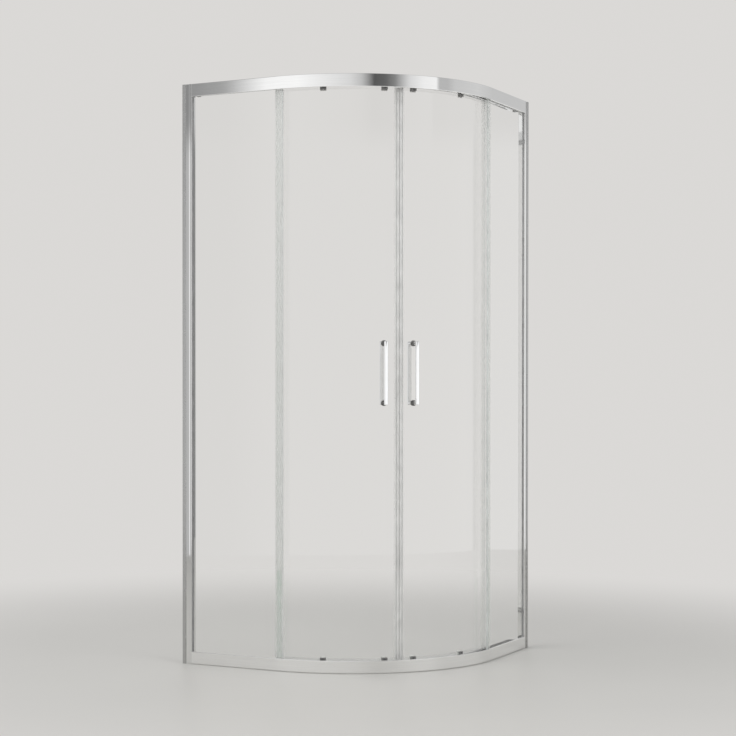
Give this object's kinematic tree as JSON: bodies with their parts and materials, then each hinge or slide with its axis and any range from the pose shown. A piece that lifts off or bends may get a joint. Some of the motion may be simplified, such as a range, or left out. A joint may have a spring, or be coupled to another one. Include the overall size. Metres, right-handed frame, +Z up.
{
  "type": "quadrant shower enclosure",
  "caption": "Corner shower enclosure with a quarter-round front: chrome rails, flat fixed side panes and curved glass doors that slide apart on wheels.",
  "frame": {"origin": "centre of the 900 by 900 mm plan square, at floor level", "axes": "+Z up; the walls are on the -X and +Y sides; the rounded entry faces +X and -Y"},
  "size_m": [0.9, 0.9, 1.95],
  "materials": {
    "chrome": "mirror-bright polished extrusion",
    "satin_aluminium": "satin anodised extrusion",
    "glass": "clear toughened glass, polished edges",
    "clear_seal": "clear flexible plastic",
    "gasket": "matt dark glazing rubber",
    "dark_plastic": "moulded dark plastic",
    "nylon": "white running nylon",
    "steel": "stainless steel",
    "magnet": "pale magnetic strip"
  },
  "bodies": {
    "frame": {"top_rail": "chrome", "bottom_rail": "chrome", "frame_screws": "steel", "adjusting_screws": "steel", "door_stops": "gasket", "wall_channel_left": "satin_aluminium", "wall_channel_right": "satin_aluminium", "side_profile_left": "satin_aluminium", "side_profile_right": "satin_aluminium", "fixed_glass_left": "glass", "fixed_glass_right": "glass", "glazing_gasket_left": "gasket", "glazing_gasket_right": "gasket", "edge_seal_left": "clear_seal", "edge_seal_right": "clear_seal", "rail_block_top_left": "dark_plastic", "rail_block_top_right": "dark_plastic", "rail_block_bottom_left": "dark_plastic", "rail_block_bottom_right": "dark_plastic"},
    "lead_truck_left": {"carriage_front_left": "dark_plastic"},
    "door_left": {"door_glass_left": "glass", "magnet_profile_left": "clear_seal", "magnet_strip_left": "magnet", "rear_seal_left": "clear_seal", "drip_seal_left": "clear_seal", "handle_outer_left": "chrome", "handle_inner_left": "chrome", "handle_studs_left": "steel", "handle_washers_left": "gasket", "clamp_caps_left": "dark_plastic", "clamp_screws_left": "steel", "hanger_bolts_left": "steel", "hanger_front_left": "steel", "hanger_rear_left": "steel", "guide_front_left": "nylon", "guide_rear_left": "nylon"},
    "rear_truck_left": {"carriage_rear_left": "dark_plastic"},
    "front_wheel_left": {"wheel_front_left": "nylon"},
    "rear_wheel_left": {"wheel_rear_left": "nylon"},
    "lead_truck_right": {"carriage_front_right": "dark_plastic"},
    "door_right": {"door_glass_right": "glass", "magnet_profile_right": "clear_seal", "magnet_strip_right": "magnet", "rear_seal_right": "clear_seal", "drip_seal_right": "clear_seal", "handle_outer_right": "chrome", "handle_inner_right": "chrome", "handle_studs_right": "steel", "handle_washers_right": "gasket", "clamp_caps_right": "dark_plastic", "clamp_screws_right": "steel", "hanger_bolts_right": "steel", "hanger_front_right": "steel", "hanger_rear_right": "steel", "guide_front_right": "nylon", "guide_rear_right": "nylon"},
    "rear_truck_right": {"carriage_rear_right": "dark_plastic"},
    "front_wheel_right": {"wheel_front_right": "nylon"},
    "rear_wheel_right": {"wheel_rear_right": "nylon"}
  },
  "joints": [
    {"name": "door_run_left", "type": "hinge", "parent": "frame", "child": "lead_truck_left", "pos_m": [-0.1, 0.1, 0], "axis": [0, 0, -1], "range_deg": [0, 28]},
    {"name": "door_steer_left", "type": "hinge", "parent": "lead_truck_left", "child": "door_left", "pos_m": [0.22406, -0.29381, 1.93], "axis": [0, 0, 1], "range_deg": [0, 2]},
    {"name": "truck_swivel_left", "type": "hinge", "parent": "door_left", "child": "rear_truck_left", "pos_m": [0.04954, -0.38759, 1.93], "axis": [0, 0, 1], "range_deg": [0, 5.7]},
    {"name": "front_wheel_roll_left", "type": "hinge", "parent": "lead_truck_left", "child": "front_wheel_left", "pos_m": [0.21675, -0.28493, 1.9323], "axis": [0.6354, -0.7722, 0], "continuous": true},
    {"name": "rear_wheel_roll_left", "type": "hinge", "parent": "rear_truck_left", "child": "rear_wheel_left", "pos_m": [0.04616, -0.37659, 1.9323], "axis": [0.2932, -0.956, 0], "continuous": true},
    {"name": "door_run_right", "type": "hinge", "parent": "frame", "child": "lead_truck_right", "pos_m": [-0.1, 0.1, 0], "axis": [0, 0, 1], "range_deg": [0, 28]},
    {"name": "door_steer_right", "type": "hinge", "parent": "lead_truck_right", "child": "door_right", "pos_m": [0.29381, -0.22406, 1.93], "axis": [0, 0, -1], "range_deg": [0, 2]},
    {"name": "truck_swivel_right", "type": "hinge", "parent": "door_right", "child": "rear_truck_right", "pos_m": [0.38759, -0.04954, 1.93], "axis": [0, 0, -1], "range_deg": [0, 5.7]},
    {"name": "front_wheel_roll_right", "type": "hinge", "parent": "lead_truck_right", "child": "front_wheel_right", "pos_m": [0.28493, -0.21675, 1.9323], "axis": [-0.7722, 0.6354, 0], "continuous": true},
    {"name": "rear_wheel_roll_right", "type": "hinge", "parent": "rear_truck_right", "child": "rear_wheel_right", "pos_m": [0.37659, -0.04616, 1.9323], "axis": [-0.956, 0.2932, 0], "continuous": true}
  ],
  "couplings": [
    {"joint": "door_steer_left", "follows": "door_run_left", "ratio": 0.07},
    {"joint": "truck_swivel_left", "follows": "door_run_left", "ratio": 0.2},
    {"joint": "front_wheel_roll_left", "follows": "door_run_left", "ratio": 49.85},
    {"joint": "rear_wheel_roll_left", "follows": "door_run_left", "ratio": 49.85},
    {"joint": "door_steer_right", "follows": "door_run_right", "ratio": 0.07},
    {"joint": "truck_swivel_right", "follows": "door_run_right", "ratio": 0.2},
    {"joint": "front_wheel_roll_right", "follows": "door_run_right", "ratio": 49.85},
    {"joint": "rear_wheel_roll_right", "follows": "door_run_right", "ratio": 49.85}
  ]
}
